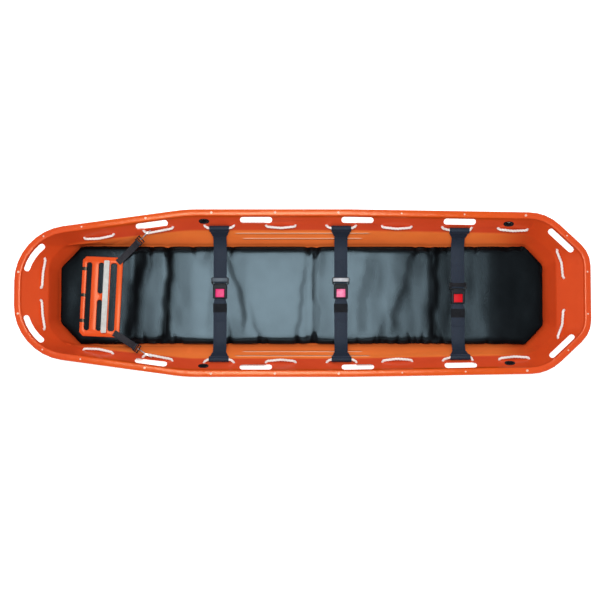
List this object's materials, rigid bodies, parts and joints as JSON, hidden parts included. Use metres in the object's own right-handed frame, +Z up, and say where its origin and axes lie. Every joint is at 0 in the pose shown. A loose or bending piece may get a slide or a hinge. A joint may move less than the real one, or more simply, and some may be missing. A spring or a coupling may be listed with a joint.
{
  "type": "basket stretcher",
  "caption": "Rescue basket stretcher: moulded tub with tube rim, hand slots and laced rope, padded bed, patient belts with push-button buckles and a sliding foot rest.",
  "frame": {"origin": "on the ground plane under the middle of the tub", "axes": "+X towards the head end, +Y to the left of a person lying on the back, +Z up"},
  "size_m": [2.16, 0.63, 0.19],
  "materials": {
    "orange_plastic": "gloss",
    "aluminium_tube": "satin",
    "white_rope": "matte",
    "black_vinyl": "satin",
    "black_webbing": "matte",
    "black_elastic": "matte",
    "black_steel": "satin",
    "chromed_bar": "gloss",
    "zinc_steel": "satin",
    "spring_steel": "satin",
    "black_plastic": "satin",
    "red_plastic": "gloss",
    "pale_strip": "matte"
  },
  "bodies": {
    "stretcher": {"shell": "orange_plastic", "frame_tube_foot": "aluminium_tube", "frame_tube_head": "aluminium_tube", "frame_spigot_left": "aluminium_tube", "frame_spigot_right": "aluminium_tube", "lift_eyelet_1": "zinc_steel", "lift_eyelet_2": "zinc_steel", "lift_eyelet_3": "zinc_steel", "lift_eyelet_4": "zinc_steel", "lift_guard_1": "black_steel", "lift_guard_2": "black_steel", "lift_guard_3": "black_steel", "lift_guard_4": "black_steel", "grab_rope": "white_rope", "pad": "black_vinyl", "belt_lower_1": "black_webbing", "belt_keeper_1": "black_elastic", "buckle_base_1": "zinc_steel", "buckle_cover_1": "black_plastic", "buckle_back_1": "black_plastic", "button_spring_1": "spring_steel", "belt_lower_2": "black_webbing", "belt_keeper_2": "black_elastic", "buckle_base_2": "zinc_steel", "buckle_cover_2": "black_plastic", "buckle_back_2": "black_plastic", "button_spring_2": "spring_steel", "belt_lower_3": "black_webbing", "belt_keeper_3": "black_elastic", "buckle_base_3": "zinc_steel", "buckle_cover_3": "black_plastic", "buckle_back_3": "black_plastic", "button_spring_3": "spring_steel", "foot_adjuster_left": "zinc_steel", "foot_hook_left": "zinc_steel", "foot_adjuster_right": "zinc_steel", "foot_hook_right": "zinc_steel"},
    "foot_rest": {"foot_rest_frame": "orange_plastic", "foot_rest_pad": "pale_strip", "foot_strap_left": "black_webbing", "foot_strap_right": "black_webbing"},
    "tongue_half_1": {"tongue_1": "black_steel", "belt_upper_1": "black_webbing"},
    "adjuster_bar_1": {"slide_bar_1": "chromed_bar"},
    "release_button_1": {"button_1": "red_plastic", "latch_plate_1": "zinc_steel"},
    "tongue_half_2": {"tongue_2": "black_steel", "belt_upper_2": "black_webbing"},
    "adjuster_bar_2": {"slide_bar_2": "chromed_bar"},
    "release_button_2": {"button_2": "red_plastic", "latch_plate_2": "zinc_steel"},
    "tongue_half_3": {"tongue_3": "black_steel", "belt_upper_3": "black_webbing"},
    "adjuster_bar_3": {"slide_bar_3": "chromed_bar"},
    "release_button_3": {"button_3": "red_plastic", "latch_plate_3": "zinc_steel"}
  },
  "joints": [
    {"name": "tongue_release_1", "type": "slide", "parent": "stretcher", "child": "tongue_half_1", "axis": [0, 1, 0], "range_m": [0, 0.045], "deforming": ["belt_upper_1"]},
    {"name": "button_press_1", "type": "slide", "parent": "stretcher", "child": "release_button_1", "axis": [0, 0, -1], "range_m": [0, 0.003], "stiffness_N_per_m": 1000, "springref_m": -0.002, "deforming": ["button_spring_1"]},
    {"name": "bar_slide_1", "type": "slide", "parent": "tongue_half_1", "child": "adjuster_bar_1", "axis": [0, -1, 0], "range_m": [0, 0.003]},
    {"name": "tongue_release_2", "type": "slide", "parent": "stretcher", "child": "tongue_half_2", "axis": [0, 1, 0], "range_m": [0, 0.045], "deforming": ["belt_upper_2"]},
    {"name": "button_press_2", "type": "slide", "parent": "stretcher", "child": "release_button_2", "axis": [0, 0, -1], "range_m": [0, 0.003], "stiffness_N_per_m": 1000, "springref_m": -0.002, "deforming": ["button_spring_2"]},
    {"name": "bar_slide_2", "type": "slide", "parent": "tongue_half_2", "child": "adjuster_bar_2", "axis": [0, -1, 0], "range_m": [0, 0.003]},
    {"name": "tongue_release_3", "type": "slide", "parent": "stretcher", "child": "tongue_half_3", "axis": [0, 1, 0], "range_m": [0, 0.045], "deforming": ["belt_upper_3"]},
    {"name": "button_press_3", "type": "slide", "parent": "stretcher", "child": "release_button_3", "axis": [0, 0, -1], "range_m": [0, 0.003], "stiffness_N_per_m": 1000, "springref_m": -0.002, "deforming": ["button_spring_3"]},
    {"name": "bar_slide_3", "type": "slide", "parent": "tongue_half_3", "child": "adjuster_bar_3", "axis": [0, -1, 0], "range_m": [0, 0.003]},
    {"name": "foot_rest_slide", "type": "slide", "parent": "stretcher", "child": "foot_rest", "axis": [1, 0, 0], "range_m": [-0.04, 0.04], "deforming": ["foot_strap_left", "foot_strap_right"]}
  ]
}
